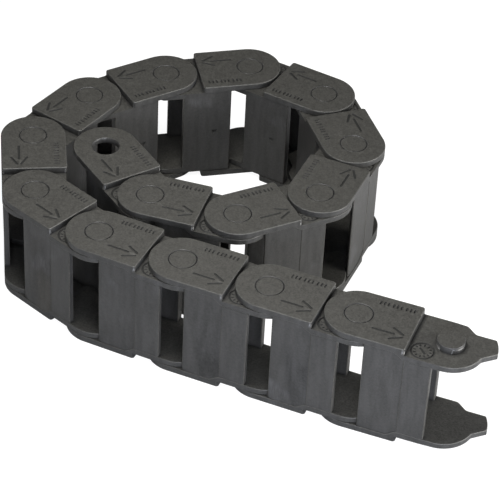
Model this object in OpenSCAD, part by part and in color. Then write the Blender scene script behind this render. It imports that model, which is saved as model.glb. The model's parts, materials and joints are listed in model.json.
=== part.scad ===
// Cable drag chain of identical one-piece links, lying on its side.
// Each link snaps its two pins into the two holes of the link ahead of it.
// A link's own frame: hole axis at the origin, pin axis at +X, the outside
// of the bend at -Y, and Z across the width of the chain.

/* [Chain] */
// Distance from a link's hole to its pin
pitch = 20; // [20:0.5:24]
// Clear width between the two side plates
inner_w = 20; // [12:1:40]
// Height of the side plates, which is the chain's outer height
plate_h = 14.5; // [14.5:0.1:15]
// Bend at which a link rests on its neighbour's stop, in degrees
stop_angle = 41.6; // [30:0.1:42]

/* [Side plates] */
// Thickness of the outer half of a plate, which holds the hole
outer_t = 1.5; // [1.2:0.1:2]
// Thickness of the inner half of a plate, which carries the pin
inner_t = 1.4; // [1.2:0.1:2]
// Gap between one link's outer half and the next link's inner half
plate_gap = 0.1; // [0.05:0.05:0.3]
// Square end of the outer half, ahead of the hole
outer_end = 12.25; // [12:0.05:12.5]
// How much lower the inner half is on the inside of the bend
inner_drop = 0.25; // [0.1:0.05:0.4]

/* [Pivot] */
// Diameter of the pins
pin_d = 6; // [5:0.1:6.5]
// Radial running clearance between pin and hole
pivot_clearance = 0.06; // [0.03:0.01:0.1]
// How far the pin's top lies below the outer face of the chain
pin_below = 0.05; // [0.02:0.01:0.2]
// Chamfer on the pin's top edge and on the hole's outer edge
pivot_chamfer = 0.15; // [0.1:0.05:0.3]

/* [Stop tongue] */
// Reach of the stop tongue past the pin axis
tongue_r = 9.9; // [9.5:0.1:10]
// Clearance between the tongue and the wall that stops it
stop_clearance = 0.05; // [0.03:0.01:0.1]

/* [Crossbars] */
// Start of the outer-radius crossbar, ahead of the hole
outer_bar_from = 3.5; // [3.5:0.1:5]
// End of the outer-radius crossbar
outer_bar_to = 18.2; // [17:0.1:18.4]
// Start of the inner-radius crossbar, ahead of the hole
inner_bar_from = 5.6; // [5.6:0.1:7]
// End of the inner-radius crossbar
inner_bar_to = 16.5; // [15:0.1:16.6]
// Thickness of the outer-radius crossbar
outer_bar_t = 1.15; // [1:0.05:1.3]
// Thickness of the inner-radius crossbar
inner_bar_t = 1.85; // [1.5:0.05:2]
// How far the outer-radius crossbar is set back from the plate edges
bar_set_back = 0.2; // [0.15:0.05:0.3]
// How far that crossbar's forward part stands proud of the rest
bar_pad = 0.1; // [0.05:0.01:0.15]
// Depth of the bevel on that crossbar's edge beside the hole
bar_bevel = 0.15; // [0.05:0.05:0.2]

/* [Hidden] */
NODES = ["link_01", "link_02", "link_03", "link_04", "link_05", "link_06", "link_07", "link_08",
         "link_09", "link_10", "link_11", "link_12", "link_13", "link_14", "link_15"];
$fn = 64;
eps = 0.01;

// Bend at each joint as the chain lies: a nearly straight run, then a coil
rest_bends = [2, 0.4, 1.7, 18, stop_angle, stop_angle, 24.2, 18.3,
              stop_angle, stop_angle, stop_angle, stop_angle, stop_angle, stop_angle];

plate_r = plate_h / 2;
pin_r = pin_d / 2;
hole_r = pin_r + pivot_clearance;
inner_from = outer_t + plate_gap;               // outward face of a plate's inner half
plate_depth = inner_from + inner_t;             // inward face of a plate's inner half
width = inner_w + 2 * plate_depth;
inner_top = plate_r - inner_drop;               // inner half's edge on the inside of the bend
jog_from = tongue_r + 0.1;                      // the plate steps inwards from here ...
jog_to = outer_end - 0.05;                      // ... to here
pocket_r = plate_r + 0.25;                      // room for the next link's rounded end
low_wall = plate_r - bar_set_back - outer_bar_t; // stop wall at full bend, below the axis
high_wall = inner_top - inner_bar_t;            // stop wall when straight, above the axis
corner_r = 0.6;                                 // corners of the outer half's square end
stop_edge = low_wall - stop_clearance;          // pin axis to the tongue's lower stop edge
straight_edge = high_wall - stop_clearance;     // pin axis to the tongue's upper stop edge
tip_r = 0.5;                                    // rounding of the tongue's upper corner
root_r = 1;                                     // fillet where the tongue leaves the round end
shoulder_angle = 40;                            // slope from the upper edge down to the tongue
shoulder_from = 1.2;                            // start of that slope, past the pin axis
shoulder_r = 1.5;                               // roundings at both ends of the slope
bevel_w = pocket_cut(low_wall) - outer_bar_from; // the bevel ends where the crossbar is full

// ---- where each link lies -------------------------------------------------

function turn_of(i) = i == 0 ? 0 : turn_of(i - 1) - rest_bends[i - 1];
function along(angle, length) = [length * cos(angle), length * sin(angle)];
// Hole axis of link i, counted from the free pin of the first link
function raw_hole(i) = (i == 0 ? [0, 0] : raw_hole(i - 1)) - along(turn_of(i), pitch);
// A point of link i's own frame, in the chain's raw frame
function raw_point(i, x, y) = raw_hole(i) + along(turn_of(i), x) + along(turn_of(i) + 90, y);

last = len(NODES) - 1;
// Foremost point of a tongue: the corner between its rim and its lower stop edge
tongue_tip = tongue_r * cos(stop_angle - asin(stop_edge / tongue_r));
// The outline's extreme points: round ends, square-end corners and the free tongue's corners
function extremes(k) = [
    for (i = [0 : last]) each [
        raw_hole(i)[k] - plate_r, raw_hole(i)[k] + plate_r,
        for (y = [-plate_r, plate_r]) raw_point(i, outer_end - corner_r, y)[k]],
    raw_point(0, pitch + tongue_tip, 0)[k]];
centre = [for (k = [0, 1]) (min(extremes(k)) + max(extremes(k))) / 2];

// ---- outlines of a side plate ---------------------------------------------

// Outer half: round about the hole, square at the other end
module outer_outline() {
    circle(plate_r);
    translate([0, -plate_r]) square([outer_end - corner_r, plate_h]);
    translate([0, corner_r - plate_r]) square([outer_end, plate_h - 2 * corner_r]);
    for (y = [-1, 1])
        translate([outer_end - corner_r, y * (plate_r - corner_r)]) circle(corner_r, $fn = 32);
}

// Points along an arc about a centre
function arc(centre, r, from, to, steps = 6) =
    [for (i = [0 : steps]) centre + along(from + (to - from) * i / steps, r)];

// Tongue between its two stop edges, in the pin's frame: the upper edge lies along X,
// and the lower edge comes to lie along X when the link is bent to its stop
module tongue_outline() {
    tip_x = sqrt(pow(tongue_r - tip_r, 2) - pow(straight_edge - tip_r, 2));
    intersection() {
        circle(tongue_r);
        union() {
            translate([0, -tongue_r]) square([tip_x, tongue_r + straight_edge]);
            translate([0, -tongue_r]) square([tongue_r, tongue_r + straight_edge - tip_r]);
            translate([tip_x, straight_edge - tip_r]) circle(tip_r, $fn = 32);
        }
        rotate(stop_angle) translate([0, -stop_edge]) square([tongue_r, 2 * tongue_r]);
    }
    rotate(stop_angle) tongue_root();
}

// Fillet between the round end and the lower stop edge, which lies along X here
module tongue_root() {
    root = [sqrt(pow(plate_r + root_r, 2) - pow(stop_edge + root_r, 2)), -stop_edge - root_r];
    difference() {
        polygon([root * plate_r / (plate_r + root_r), [root[0], -stop_edge],
                 [root[0] - root_r, -stop_edge + root_r / 2]]);
        translate(root) circle(root_r, $fn = 32);
    }
}

// Shoulder that slopes from the inner half's upper edge down to the tongue
module shoulder_outline() {
    drop = inner_top - straight_edge;
    slope_drop = drop - 2 * shoulder_r * (1 - cos(shoulder_angle));
    foot = shoulder_from + 2 * shoulder_r * sin(shoulder_angle) + slope_drop / tan(shoulder_angle);
    polygon(concat(
        [[0, 0], [0, inner_top]],
        arc([shoulder_from, inner_top - shoulder_r], shoulder_r, 90, 90 - shoulder_angle),
        arc([foot, straight_edge + shoulder_r], shoulder_r, 270 - shoulder_angle, 270),
        [[foot, 0]]));
}

// Inner half: from the step to the pin, rounded below, with the stop tongue ahead of it
module inner_outline() {
    translate([jog_to, -plate_r]) square([pitch - jog_to, plate_r + inner_top]);
    translate([pitch, 0]) {
        intersection() {
            circle(plate_r);
            translate([-eps, -plate_r]) square([plate_r + eps, plate_r + 1]);
        }
        tongue_outline();
        shoulder_outline();
    }
}

// ---- parts of a link ------------------------------------------------------

// Step that joins the outer half to the inner half, sloped on its inward side
module plate_step() {
    translate([0, inner_top, 0]) rotate([90, 0, 0])
        linear_extrude(plate_r + inner_top)
            polygon([[jog_from, outer_t - eps], [outer_end, outer_t - eps], [outer_end, inner_from],
                     [outer_end, plate_depth], [jog_to, plate_depth], [jog_from, outer_t]]);
}

// Hole through the outer half, eased at its outer edge
module pivot_hole() {
    translate([0, 0, -eps]) cylinder(r = hole_r, h = outer_t + 2 * eps);
    translate([0, 0, -eps])
        cylinder(r1 = hole_r + pivot_chamfer + eps, r2 = hole_r, h = pivot_chamfer + eps);
}

// Pin on the inner half's outward face, eased at its top edge
module pivot_pin() {
    translate([pitch, 0, pin_below + pivot_chamfer])
        cylinder(r = pin_r, h = inner_from + eps - pin_below - pivot_chamfer);
    translate([pitch, 0, pin_below])
        cylinder(r1 = pin_r - pivot_chamfer, r2 = pin_r, h = pivot_chamfer);
}

// One side plate with its outer face at z = 0
module side_plate() {
    difference() {
        union() {
            linear_extrude(outer_t) outer_outline();
            translate([0, 0, inner_from]) linear_extrude(inner_t) inner_outline();
            plate_step();
        }
        pivot_hole();
    }
    pivot_pin();
}

// Crossbar from x0 to x1 between the two plates, with its section given in each part
module crossbar(x0, x1, y0, y1) {
    translate([x0, y0, outer_t - eps]) cube([outer_end - x0, y1 - y0, width - 2 * outer_t + 2 * eps]);
    translate([outer_end - eps, y0, inner_from + eps])
        cube([x1 - outer_end + eps, y1 - y0, width - 2 * inner_from - 2 * eps]);
}

// Where the pocket's rim crosses a line at distance y below the axis
function pocket_cut(y) = sqrt(pow(pocket_r, 2) - pow(y, 2));

// Crossbar outside the bend: bevelled, and hollowed for the next link's round end, beside
// the hole; its forward part stands a little proud
module outer_crossbar() {
    face = bar_set_back - plate_r;
    difference() {
        union() {
            crossbar(outer_bar_from, outer_bar_to, face, -low_wall);
            translate([outer_end, face - bar_pad, inner_from + eps])
                cube([outer_bar_to - outer_end, bar_pad + eps, width - 2 * inner_from - 2 * eps]);
        }
        cylinder(r = pocket_r, h = width);
        linear_extrude(width)
            polygon([[outer_bar_from - 1, face - 1], [outer_bar_from + bevel_w, face - 1],
                     [outer_bar_from + bevel_w, face], [outer_bar_from, face + bar_bevel],
                     [outer_bar_from - 1, face + bar_bevel]]);
    }
}

// Crossbar inside the bend
module inner_crossbar() {
    crossbar(inner_bar_from, inner_bar_to, high_wall, inner_top);
}

module link() {
    side_plate();
    translate([0, 0, width]) mirror([0, 0, 1]) side_plate();
    outer_crossbar();
    inner_crossbar();
}

module placed_link(i) {
    hole = raw_hole(i) - centre;
    color("#3a3a38") translate([hole[0], hole[1], 0]) rotate(turn_of(i)) link();
}

placed_link(0);  // link_01
placed_link(1);  // link_02
placed_link(2);  // link_03
placed_link(3);  // link_04
placed_link(4);  // link_05
placed_link(5);  // link_06
placed_link(6);  // link_07
placed_link(7);  // link_08
placed_link(8);  // link_09
placed_link(9);  // link_10
placed_link(10);  // link_11
placed_link(11);  // link_12
placed_link(12);  // link_13
placed_link(13);  // link_14
placed_link(14);  // link_15
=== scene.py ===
"""Looks of the cable drag chain: softened edges, moulded marks, plastic, floor, light and camera.

The links are identical, so one mesh is made from the first link's solid and placed 15 times. A
link's own frame, used for meshes and marks, is in millimetres: the hole's axis at the origin, the
pin's axis at +X, the outside of the bend at -Y, and Z from the lower plate's outer face (0) to
the upper plate's (WIDTH). The lights are placed in the row's frame, in metres.
"""

import json
import math

import bmesh
import bpy
from mathutils import Matrix, Vector


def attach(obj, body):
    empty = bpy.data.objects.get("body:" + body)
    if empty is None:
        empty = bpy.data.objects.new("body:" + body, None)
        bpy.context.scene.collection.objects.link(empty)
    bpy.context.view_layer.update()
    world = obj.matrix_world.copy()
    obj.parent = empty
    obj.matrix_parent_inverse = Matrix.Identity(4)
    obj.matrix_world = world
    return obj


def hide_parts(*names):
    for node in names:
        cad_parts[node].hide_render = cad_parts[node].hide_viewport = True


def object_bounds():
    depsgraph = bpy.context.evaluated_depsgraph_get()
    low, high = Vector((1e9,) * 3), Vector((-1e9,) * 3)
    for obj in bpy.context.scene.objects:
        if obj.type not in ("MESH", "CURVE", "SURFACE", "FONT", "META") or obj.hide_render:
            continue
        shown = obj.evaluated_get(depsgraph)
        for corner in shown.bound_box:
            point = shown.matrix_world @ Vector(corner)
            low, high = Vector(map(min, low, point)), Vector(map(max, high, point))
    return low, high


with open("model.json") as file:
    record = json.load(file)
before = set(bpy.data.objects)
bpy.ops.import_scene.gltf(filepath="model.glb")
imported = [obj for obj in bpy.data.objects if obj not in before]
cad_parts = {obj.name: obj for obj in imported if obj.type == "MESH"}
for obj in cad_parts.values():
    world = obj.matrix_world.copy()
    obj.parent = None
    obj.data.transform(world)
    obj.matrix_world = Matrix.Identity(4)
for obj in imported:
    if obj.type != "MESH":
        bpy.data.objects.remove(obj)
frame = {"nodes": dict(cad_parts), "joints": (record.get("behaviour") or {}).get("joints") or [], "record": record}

CAD_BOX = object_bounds()
MM = 0.001

# ---- sizes of a link, in millimetres --------------------------------------

WIDTH = (CAD_BOX[1].z - CAD_BOX[0].z) / MM
INNER_DEPTH = 1.6        # the inner half's outward face, below the outer half's
PLATE_DEPTH = 3.0        # a plate's inward face, below its outer face
INSIDE_FACE = 7.0        # the inner-radius crossbar's outer face, along Y
BAR_END_CAD = 16.5       # forward end of the inner-radius crossbar in the solid ...
BAR_END = 16.9           # ... and on the moulding
STEP_X = 12.2            # where a plate steps from its outer half to its inner half
WELD = 0.002             # points closer than this are one
FLAT = 0.6               # faces that meet at less than this are one, in degrees
EDGE_ROUND = 0.2         # rounding of the moulding's edges
EDGE_STEPS = 3           # flats across that rounding
SHARP_FROM = 70          # smallest angle between faces that is rounded, in degrees
SMOOTH_UNDER = 50        # smaller angles between faces are shaded smooth, in degrees

# ---- moulded marks ---------------------------------------------------------

MARK_DEPTH = 0.2         # recess of the marks on the plates
STROKE = 0.42            # width of their strokes
CLOCK_DEPTH = 0.2        # recess of the date clock
GATE_DEPTH = 0.15        # recess of the gate scar
GATE_X = 9.5             # its place along the link
CLOCK_AT = (15.3, -4.2)  # centre of the date clock
ARROW_Y = -3.3           # centre line of the arrow
ARROW_STROKE = 0.55      # width of the arrow's strokes

# ---- colours and finish ----------------------------------------------------

CORNER_SHADE = 0.8              # how far painted shade darkens the corners
# near-black colour of the painted shade in corners
CORNER_SHADE_COLOUR = (0.008, 0.008, 0.008)
EDGE_WEAR_AND_HIGHLIGHT = 0.5         # how far rounded edges turn to the pale colour, as rubbed wear and as a painted highlight
EDGE_GLOSS = 0.12        # how much smoother rubbed edges are
SCUFF_ROUGHNESS = 0.15   # how much rougher scuffs are
BUMP_DEPTH = 0.03        # depth of the grain, in millimetres

# ---- floor, light and camera -----------------------------------------------

FLOOR_COLOUR = (0.5, 0.5, 0.5)
FLOOR_DROP = 0.02        # gap between chain and floor, in millimetres
FLOOR_LIFT = 0.93        # glow that lifts the floor to white where the camera sees it
FLOOR_SHADE = 0.5        # share of the floor's own shading that the camera sees
ROOM_COLOUR = (0.93, 0.96, 1.0)
ROOM_LIGHT = 0.06        # strength of the even light from all sides
WARM, COOL, PLAIN = (1.0, 0.94, 0.82), (0.86, 0.90, 1.0), (1.0, 0.99, 0.96)
SOFTBOXES = (            # name, place, target, side, watts, colour
    ("low_overhead", (-0.02, -0.035, 0.17), (-0.02, -0.03, 0), 0.08, 0.225, PLAIN),
    ("right_side", (0.35, 0, 0.07), (0, 0, 0.01), 0.2, 1.9, PLAIN),
    ("front_right", (0.13, -0.22, 0.045), (0.05, -0.04, 0.013), 0.12, 0.52, COOL),
    ("front", (0.10, -0.38, 0.27), (0, 0, 0.01), 0.2, 0.42, COOL),
    ("behind", (-0.12, 0.35, 0.32), (0, 0, 0.01), 0.3, 0.04, PLAIN),
    ("left_side", (-0.30, -0.18, 0.12), (0, 0, 0.01), 0.2, 0.10, WARM),
)
LENS = 167.6             # focal length, in millimetres
AZIMUTH, ELEVATION, ROLL = 18.98, 39.33, 3.07  # of the camera, in degrees
DISTANCE = 516.1         # from the camera to the point it looks at, in millimetres
AIM = (-0.78, -11.84, 0)  # that point, from the middle of the CAD box, in millimetres


def link_frames():
    """For each link, the matrix that takes its own frame, in millimetres, to the row's frame."""
    record = frame["record"]
    mounts = {m["name"]: m["pos_m"] for m in record["mounts"]}
    bends = sorted(frame["joints"], key=lambda joint: joint["name"])
    pivots = [mounts["free_pin_top"]] + [bend["pos_m"] for bend in bends] + [mounts["free_hole"]]
    frames = {}
    for number, (pin, hole) in enumerate(zip(pivots, pivots[1:]), start=1):
        turn = math.atan2(pin[1] - hole[1], pin[0] - hole[0])
        place = Matrix.Translation((hole[0], hole[1], CAD_BOX[0].z)) @ Matrix.Rotation(turn, 4, "Z")
        frames[f"link_{number:02d}"] = place @ Matrix.Scale(MM, 4)
    return frames


# ---- mesh of a link --------------------------------------------------------

def beside_step(edge):
    """True for the small edges at the step's corners, which stay sharp."""
    for v in edge.verts:
        depth = min(v.co.z, WIDTH - v.co.z)
        if abs(v.co.x - STEP_X) < 0.7 and 1.3 < depth < 1.9:
            return True
    return False


def widened(bm):
    """Moves the inner-radius crossbar's forward end to its visible place."""
    for v in bm.verts:
        between = PLATE_DEPTH - 0.1 < v.co.z < WIDTH - PLATE_DEPTH + 0.1
        if between and v.co.y > 0 and abs(v.co.x - BAR_END_CAD) < 0.02:
            v.co.x = BAR_END


def rounded(bm):
    """Rounds the convex edges and marks the roundings in the attribute "rim"."""
    rim = bm.verts.layers.float.new("rim")
    edges = [e for e in bm.edges if len(e.link_faces) == 2 and e.is_convex
             and e.calc_face_angle() > math.radians(SHARP_FROM) and not beside_step(e)
             and all(f.material_index < 2 for f in e.link_faces)]
    made = bmesh.ops.bevel(bm, geom=edges, offset=EDGE_ROUND, offset_type="OFFSET",
                           segments=EDGE_STEPS, profile=0.5, affect="EDGES", loop_slide=True)
    faces = set(made["faces"])
    for v in made["verts"]:
        v[rim] = float(all(f in faces for f in v.link_faces))


def stroke(bm, start, end, width=STROKE):
    """Adds the outline of a straight stroke with round ends as a face at Z = 0."""
    a, b = Vector(start), Vector(end)
    heading = math.atan2(b.y - a.y, b.x - a.x)
    ring = []
    for centre, first in ((b, -90), (a, 90)):
        for step in range(7):
            angle = heading + math.radians(first + 30 * step)
            ring.append((centre.x + width / 2 * math.cos(angle),
                         centre.y + width / 2 * math.sin(angle), 0))
    bm.faces.new([bm.verts.new(p) for p in ring])


def ring(bm, centre, inner, outer, steps=40):
    """Adds a flat ring at Z = 0."""
    rims = [[bm.verts.new((centre[0] + r * math.cos(2 * math.pi * i / steps),
                           centre[1] + r * math.sin(2 * math.pi * i / steps), 0))
             for i in range(steps)] for r in (inner, outer)]
    for i in range(steps):
        j = (i + 1) % steps
        bm.faces.new((rims[0][i], rims[1][i], rims[1][j], rims[0][j]))


def sunk(bm, depth):
    """Makes the flat outlines into cutters that reach depth below Z = 0 and a little above it."""
    above = 0.3
    bmesh.ops.translate(bm, verts=bm.verts, vec=(0, 0, -depth))
    grown = bmesh.ops.extrude_face_region(bm, geom=bm.faces[:])
    top = [g for g in grown["geom"] if isinstance(g, bmesh.types.BMVert)]
    bmesh.ops.translate(bm, verts=top, vec=(0, 0, depth + above))
    bmesh.ops.recalc_face_normals(bm, faces=bm.faces)


def tally(bm):
    """Three groups of three plain strokes along the plate's inner-radius edge."""
    for group in range(3):
        for mark in range(3):
            x = 3.2 + 2.85 * group + 0.85 * mark
            stroke(bm, (x, 4.65), (x, 5.45))


def arrow(bm):
    """A plain arrow towards the pin, along the plate's outer-radius edge."""
    stroke(bm, (4.1, ARROW_Y), (8.7, ARROW_Y), ARROW_STROKE)
    for side in (-1, 1):
        stroke(bm, (8.2, ARROW_Y + 1.75 * side), (10.6, ARROW_Y + 0.42 * side), ARROW_STROKE)


def date_clock(bm):
    """A ring with twelve ticks about a small pointer, as the mould's date insert leaves it."""
    centre = Vector(CLOCK_AT)
    ring(bm, centre, 2.15, 2.6)
    for hour in range(12):
        out = Vector((math.cos(math.pi * hour / 6), math.sin(math.pi * hour / 6)))
        stroke(bm, centre + out * 1.55, centre + out * 1.85, 0.36)
    way = Vector((1, -1)).normalized()
    stroke(bm, centre - way * 0.9, centre + way * 0.9, 0.5)


def gate_scar(bm):
    """The scar that the mould's gate leaves on the inner-radius crossbar."""
    bm.faces.new([bm.verts.new(p) for p in ((-0.7, -0.6, 0), (0.6, -0.5, 0), (0.1, 0.8, 0))])


def mark_cutters(material):
    """An object in the link's own frame that holds the cutters of every mark on a link."""
    upper = Matrix.Translation((0, 0, WIDTH))
    inner = Matrix.Translation((0, 0, WIDTH - INNER_DEPTH))
    inside = (Matrix.Translation((GATE_X, INSIDE_FACE, WIDTH / 2))
              @ Matrix.Rotation(-math.pi / 2, 4, "X"))
    mesh = bpy.data.meshes.new("mark_cutters")
    whole = bmesh.new()
    for draw, depth, face in ((tally, MARK_DEPTH, upper), (arrow, MARK_DEPTH, upper),
                              (date_clock, CLOCK_DEPTH, inner), (gate_scar, GATE_DEPTH, inside)):
        bm = bmesh.new()
        draw(bm)
        sunk(bm, depth)
        bm.transform(face)
        bm.to_mesh(mesh)
        bm.free()
        whole.from_mesh(mesh)
    whole.to_mesh(mesh)
    whole.free()
    mesh.materials.append(material)
    marks = bpy.data.objects.new("mark_cutters", mesh)
    bpy.context.scene.collection.objects.link(marks)
    return marks


def engraved(mesh, marks):
    """The mesh with the marks cut into it."""
    blank = bpy.data.objects.new("blank", mesh)
    bpy.context.scene.collection.objects.link(blank)
    cut = blank.modifiers.new("marks", "BOOLEAN")
    cut.operation = "DIFFERENCE"
    cut.solver = "EXACT"
    cut.material_mode = "TRANSFER"
    cut.object = marks
    ready = blank.evaluated_get(bpy.context.evaluated_depsgraph_get())
    made = bpy.data.meshes.new_from_object(ready)
    bpy.data.objects.remove(blank)
    return made


def grained(face):
    """True for the plates' flat faces, which the mould leaves with a grain."""
    return abs(face.normal.z) > 0.9


def link_mesh(place, finishes, marks):
    """A link's mesh in its own frame: the first link's solid with sunk marks and rounded edges."""
    bm = bmesh.new()
    bm.from_mesh(frame["nodes"]["link_01"].data)
    bm.transform(place.inverted())
    widened(bm)
    bmesh.ops.remove_doubles(bm, verts=bm.verts, dist=WELD)
    bmesh.ops.dissolve_limit(bm, angle_limit=math.radians(FLAT), verts=bm.verts, edges=bm.edges)
    for face in bm.faces:
        face.material_index = 0 if grained(face) else 1
    mesh = bpy.data.meshes.new("blank_link")
    bm.to_mesh(mesh)
    bm.free()
    for material in finishes:
        mesh.materials.append(material)
    made = engraved(mesh, marks)
    bm = bmesh.new()
    bm.from_mesh(made)
    rounded(bm)
    bm.to_mesh(made)
    bm.free()
    return made


def moulding(name, place, master):
    """The visible link of this name: a copy of the master mesh in the node's place."""
    mesh = master.copy()
    mesh.transform(place)
    mesh.shade_smooth()
    mesh.set_sharp_from_angle(angle=math.radians(SMOOTH_UNDER))
    piece = bpy.data.objects.new(name + "_moulding", mesh)
    bpy.context.scene.collection.objects.link(piece)
    piece.modifiers.new("flat faces", "WEIGHTED_NORMAL").keep_sharp = True
    return piece


# ---- shared effects --------------------------------------------------------

def effect(name, inputs, outputs):
    """An empty node group with float inputs, {name: default}, and float outputs."""
    tree = bpy.data.node_groups.new(name, "ShaderNodeTree")
    for label, value in inputs.items():
        socket = tree.interface.new_socket(label, in_out="INPUT", socket_type="NodeSocketFloat")
        socket.default_value = value
    for label in outputs:
        tree.interface.new_socket(label, in_out="OUTPUT", socket_type="NodeSocketFloat")
    return tree, tree.nodes.new("NodeGroupInput"), tree.nodes.new("NodeGroupOutput")


def add(tree, kind, inputs=None, **settings):
    """A node with its settings; inputs hold a value or the output that feeds each socket."""
    made = tree.nodes.new(kind)
    for label, value in settings.items():
        setattr(made, label, value)
    for label, value in (inputs or {}).items():
        if isinstance(value, bpy.types.NodeSocket):
            tree.links.new(value, made.inputs[label])
        else:
            made.inputs[label].default_value = value
    return made


def math_node(tree, operation, a, b, clamp=False):
    """The output of a two-value Math node."""
    return add(tree, "ShaderNodeMath", {0: a, 1: b}, operation=operation, use_clamp=clamp).outputs[0]


def ranged(tree, value, low, high, to_low, to_high):
    """value mapped from low..high to to_low..to_high, clamped."""
    return add(tree, "ShaderNodeMapRange", {"Value": value, "From Min": low, "From Max": high,
                                            "To Min": to_low, "To Max": to_high}).outputs["Result"]


def mould_grain():
    """Fine spark-eroded grain: Height for bump, Speckle for colour."""
    tree, given, out = effect("mould grain", {"Cells per mm": 5.0}, ("Height", "Speckle"))
    place = add(tree, "ShaderNodeTexCoord").outputs["Object"]
    scale = math_node(tree, "MULTIPLY", given.outputs["Cells per mm"], 1 / MM)
    noise = add(tree, "ShaderNodeTexNoise", {"Vector": place, "Scale": scale, "Detail": 3.0,
                                             "Roughness": 0.65}).outputs["Fac"]
    pits = add(tree, "ShaderNodeTexVoronoi", {"Vector": place, "Scale": scale}).outputs["Distance"]
    height = math_node(tree, "ADD", noise, math_node(tree, "MULTIPLY", pits, 0.5))
    tree.links.new(height, out.inputs["Height"])
    tree.links.new(ranged(tree, noise, 0.3, 0.7, 0.0, 1.0), out.inputs["Speckle"])
    return tree


def flow_lines():
    """Faint lines that the melt's flow leaves along the link's width."""
    tree, given, out = effect("flow lines", {"Lines per mm": 1.0}, ("Streak",))
    place = add(tree, "ShaderNodeTexCoord").outputs["Object"]
    drawn = add(tree, "ShaderNodeVectorMath", {0: place, 1: (0.7 / MM, 0.7 / MM, 0.12 / MM)},
                operation="MULTIPLY").outputs["Vector"]
    noise = add(tree, "ShaderNodeTexNoise", {"Vector": drawn, "Scale": given.outputs["Lines per mm"],
                                             "Detail": 2.0, "Distortion": 0.3}).outputs["Fac"]
    tree.links.new(ranged(tree, noise, 0.35, 0.65, 0.0, 1.0), out.inputs["Streak"])
    return tree


def handling():
    """Soft pale scuffs from handling, in scattered patches."""
    tree, given, out = effect("handling", {"Patches per mm": 0.12, "Share": 0.4}, ("Scuff",))
    place = add(tree, "ShaderNodeTexCoord").outputs["Object"]
    scale = math_node(tree, "MULTIPLY", given.outputs["Patches per mm"], 1 / MM)
    patch = add(tree, "ShaderNodeTexNoise", {"Vector": place, "Scale": scale,
                                             "Detail": 2.0}).outputs["Fac"]
    threshold = math_node(tree, "SUBTRACT", 1.0, given.outputs["Share"])
    cover = add(tree, "ShaderNodeMapRange", {"Value": patch, "From Min": threshold, "From Max": 0.8,
                                             "To Min": 0.0, "To Max": 1.0}).outputs["Result"]
    slanted = add(tree, "ShaderNodeMapping", {"Vector": place, "Rotation": (0.3, 0.4, 0.0),
                                              "Scale": (4 / MM, 4 / MM, 0.5 / MM)}).outputs["Vector"]
    rub = add(tree, "ShaderNodeTexNoise", {"Vector": slanted, "Scale": 1.0,
                                           "Detail": 4.0}).outputs["Fac"]
    tree.links.new(math_node(tree, "MULTIPLY", cover, ranged(tree, rub, 0.4, 0.7, 0.2, 1.0)),
                   out.inputs["Scuff"])
    return tree


def painted_corner_shade():
    """Painted shade in the corners of a link, found by ambient occlusion: the output is 1 in the tightest."""
    tree, given, out = effect("painted_corner_shade", {"Reach mm": 1.2}, ("Shade",))
    reach = math_node(tree, "MULTIPLY", given.outputs["Reach mm"], MM)
    corner = add(tree, "ShaderNodeAmbientOcclusion", {"Distance": reach}, samples=6, only_local=True)
    tree.links.new(ranged(tree, corner.outputs["AO"], 0.45, 0.95, 1.0, 0.0), out.inputs["Shade"])
    return tree


def edge_wear_and_highlight():
    """Where rounded edges are rubbed smoother and painted paler, partly wear and partly a painted highlight, a
    little unevenly.
    """
    tree, given, out = effect("edge wear and highlight", {"Unevenness": 0.5}, ("Mask",))
    rim = add(tree, "ShaderNodeAttribute", attribute_name="rim").outputs["Fac"]
    place = add(tree, "ShaderNodeTexCoord").outputs["Object"]
    noise = add(tree, "ShaderNodeTexNoise", {"Vector": place, "Scale": 0.8 / MM,
                                             "Detail": 3.0}).outputs["Fac"]
    worn = math_node(tree, "MULTIPLY", ranged(tree, noise, 0.35, 0.65, 0.0, 1.0),
                     given.outputs["Unevenness"])
    tree.links.new(math_node(tree, "MULTIPLY", rim, math_node(tree, "SUBTRACT", 1.0, worn)),
                   out.inputs["Mask"])
    return tree


# ---- finishes --------------------------------------------------------------

def blended(tree, share, a, b, how="MIX"):
    """Colour a mixed with colour b by share; how is the Mix node's way of blending."""
    mix = add(tree, "ShaderNodeMix", data_type="RGBA", blend_type=how)
    for label, value in (("Factor_Float", share), ("A_Color", a), ("B_Color", b)):
        socket = next(s for s in mix.inputs if s.identifier == label)
        if isinstance(value, bpy.types.NodeSocket):
            tree.links.new(value, socket)
        else:
            socket.default_value = value if label == "Factor_Float" else (*value, 1.0)
    return next(s for s in mix.outputs if s.identifier == "Result_Color")


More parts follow.
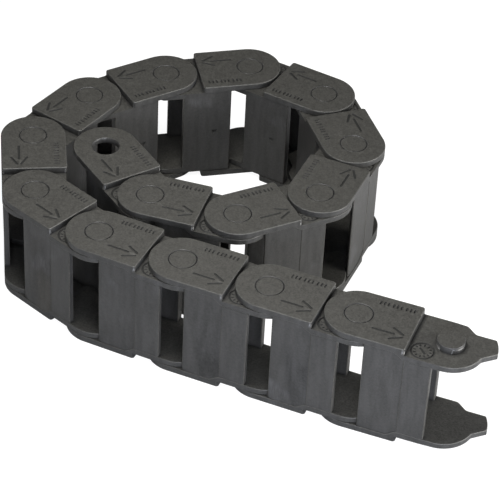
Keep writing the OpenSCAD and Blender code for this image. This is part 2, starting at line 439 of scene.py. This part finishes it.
def plastic(name, effects, dark, pale, pale_wear_and_highlight, roughness, cells, bump, streaks, scuffs):
    """Glass-filled nylon as moulded. roughness is (smoothest, roughest)."""
    material = bpy.data.materials.new(name)
    material.use_nodes = True
    tree = material.node_tree
    shader = tree.nodes["Principled BSDF"]
    placed = {label: add(tree, "ShaderNodeGroup", node_tree=made) for label, made in effects.items()}
    placed["grain"].inputs["Cells per mm"].default_value = cells
    speckle = placed["grain"].outputs["Speckle"]
    streak = placed["flow"].outputs["Streak"]
    scuff = math_node(tree, "MULTIPLY", placed["handling"].outputs["Scuff"], scuffs)
    edge = placed["edges"].outputs["Mask"]
    tone = math_node(tree, "ADD", math_node(tree, "MULTIPLY", speckle, 1 - streaks),
                     math_node(tree, "MULTIPLY", streak, streaks))
    colour = blended(tree, tone, dark, pale)
    # Rounded edges turn paler: partly rubbed wear, partly a painted highlight.
    colour = blended(tree, math_node(tree, "MULTIPLY", edge, EDGE_WEAR_AND_HIGHLIGHT), colour, pale_wear_and_highlight)
    colour = blended(tree, scuff, colour, pale_wear_and_highlight)
    # Painted shade: corners that ambient occlusion finds close are darkened towards near-black.
    colour = blended(tree, math_node(tree, "MULTIPLY", placed["painted_corner_shade"].outputs["Shade"], CORNER_SHADE),
                     colour, CORNER_SHADE_COLOUR)
    tree.links.new(colour, shader.inputs["Base Color"])
    rough = ranged(tree, tone, 0.0, 1.0, roughness[0], roughness[1])
    polish = math_node(tree, "MULTIPLY", edge, EDGE_GLOSS)
    rough = math_node(tree, "SUBTRACT", rough, polish, clamp=True)
    wear = math_node(tree, "MULTIPLY", scuff, SCUFF_ROUGHNESS)
    rough = math_node(tree, "ADD", rough, wear, clamp=True)
    tree.links.new(rough, shader.inputs["Roughness"])
    relief = add(tree, "ShaderNodeBump", {"Height": placed["grain"].outputs["Height"], "Strength": bump,
                                          "Distance": BUMP_DEPTH * MM})
    tree.links.new(relief.outputs["Normal"], shader.inputs["Normal"])
    return material


def finishes():
    """The link's finishes: the plates' grained faces, the smoother walls, and the sunk marks, whose darker colour
    is painted shade in their recesses.
    """
    effects = {"grain": mould_grain(), "flow": flow_lines(), "handling": handling(),
               "painted_corner_shade": painted_corner_shade(), "edges": edge_wear_and_highlight()}
    grain = plastic("grained_face", effects, (0.026, 0.025, 0.022), (0.078, 0.076, 0.069),
                    (0.10, 0.10, 0.095), (0.50, 0.62), 2.4, 0.8, 0.15, 0.15)
    wall = plastic("smooth_wall", effects, (0.030, 0.030, 0.029), (0.062, 0.061, 0.060),
                   (0.16, 0.16, 0.17), (0.28, 0.44), 2.0, 0.35, 0.45, 0.6)
    # The marks' floors and walls are painted darker than the plates: painted shade in the recesses.
    recess = plastic("sunk_mark_painted_shade", effects, (0.020, 0.020, 0.018), (0.030, 0.030, 0.028),
                     (0.04, 0.04, 0.04), (0.6, 0.7), 6.0, 0.5, 0.1, 0.0)
    return grain, wall, recess


# ---- floor, light and camera -----------------------------------------------

def studio_floor():
    """A grey floor; what the camera sees of it is lifted to white, and keeps the shadow."""
    bpy.ops.mesh.primitive_plane_add(size=4, location=(0, 0, CAD_BOX[0].z - FLOOR_DROP * MM))
    floor = bpy.context.object
    floor.name = "studio_floor"
    material = bpy.data.materials.new("studio_floor")
    material.use_nodes = True
    tree = material.node_tree
    shader = tree.nodes["Principled BSDF"]
    shader.inputs["Roughness"].default_value = 0.9
    shader.inputs["Specular IOR Level"].default_value = 0.1
    seen = add(tree, "ShaderNodeLightPath").outputs["Is Camera Ray"]
    glow = add(tree, "ShaderNodeEmission", {"Strength": math_node(tree, "MULTIPLY", seen, FLOOR_LIFT)})
    lit = ranged(tree, seen, 0.0, 1.0, 1.0, FLOOR_SHADE)
    shade = add(tree, "ShaderNodeCombineColor", {"Red": lit, "Green": lit, "Blue": lit})
    tree.links.new(blended(tree, 1.0, FLOOR_COLOUR, shade.outputs[0], "MULTIPLY"),
                   shader.inputs["Base Color"])
    both = add(tree, "ShaderNodeAddShader", {0: shader.outputs[0], 1: glow.outputs[0]}).outputs[0]
    tree.links.new(both, tree.nodes["Material Output"].inputs["Surface"])
    floor.data.materials.append(material)


def softbox(name, place, target, side, power, colour):
    """A square area light that faces target."""
    light = bpy.data.lights.new(name, "AREA")
    light.shape = "SQUARE"
    light.size = side
    light.energy = power
    light.color = colour
    lamp = bpy.data.objects.new(name, light)
    lamp.location = place
    lamp.rotation_mode = "QUATERNION"
    lamp.rotation_quaternion = (Vector(target) - Vector(place)).to_track_quat("-Z", "Y")
    bpy.context.scene.collection.objects.link(lamp)


def studio_light():
    """A dim even room, white to the camera, and the softboxes."""
    world = bpy.data.worlds.new("studio")
    world.use_nodes = True
    bpy.context.scene.world = world
    tree = world.node_tree
    room = tree.nodes["Background"]
    room.inputs["Color"].default_value = (*ROOM_COLOUR, 1)
    room.inputs["Strength"].default_value = ROOM_LIGHT
    white = add(tree, "ShaderNodeBackground", {"Color": (1, 1, 1, 1), "Strength": 1.0}).outputs[0]
    seen = add(tree, "ShaderNodeLightPath").outputs["Is Camera Ray"]
    mixed = add(tree, "ShaderNodeMixShader", {0: seen, 1: room.outputs[0], 2: white}).outputs[0]
    tree.links.new(mixed, tree.nodes["World Output"].inputs["Surface"])
    for box in SOFTBOXES:
        softbox(*box)


def camera():
    """A long lens from the front, a little to the right, looking down at the chain."""
    data = bpy.data.cameras.new("camera")
    data.sensor_width = 36
    data.lens = LENS
    view = bpy.data.objects.new("camera", data)
    bpy.context.scene.collection.objects.link(view)
    azimuth, elevation, roll = (math.radians(angle) for angle in (AZIMUTH, ELEVATION, ROLL))
    back = Vector((math.sin(azimuth) * math.cos(elevation), -math.cos(azimuth) * math.cos(elevation),
                   math.sin(elevation)))
    view.rotation_mode = "QUATERNION"
    level = (-back).to_track_quat("-Z", "Y")
    view.rotation_quaternion = level @ Matrix.Rotation(roll, 3, "Z").to_quaternion()
    middle = (CAD_BOX[0] + CAD_BOX[1]) / 2
    view.location = middle + Vector(AIM) * MM + back * DISTANCE * MM
    bpy.context.scene.camera = view


# ---- the chain -------------------------------------------------------------

def chain():
    """The 15 links, each riding on its body in place of its CAD node."""
    looks = finishes()
    marks = mark_cutters(looks[2])
    places = link_frames()
    master = link_mesh(places["link_01"], looks, marks)
    for name, place in places.items():
        piece = moulding(name, place, master)
        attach(piece, name)
        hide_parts(name)
    bpy.data.objects.remove(marks)


camera()
studio_light()
studio_floor()
chain()

bpy.context.scene.view_settings.view_transform = "Standard"
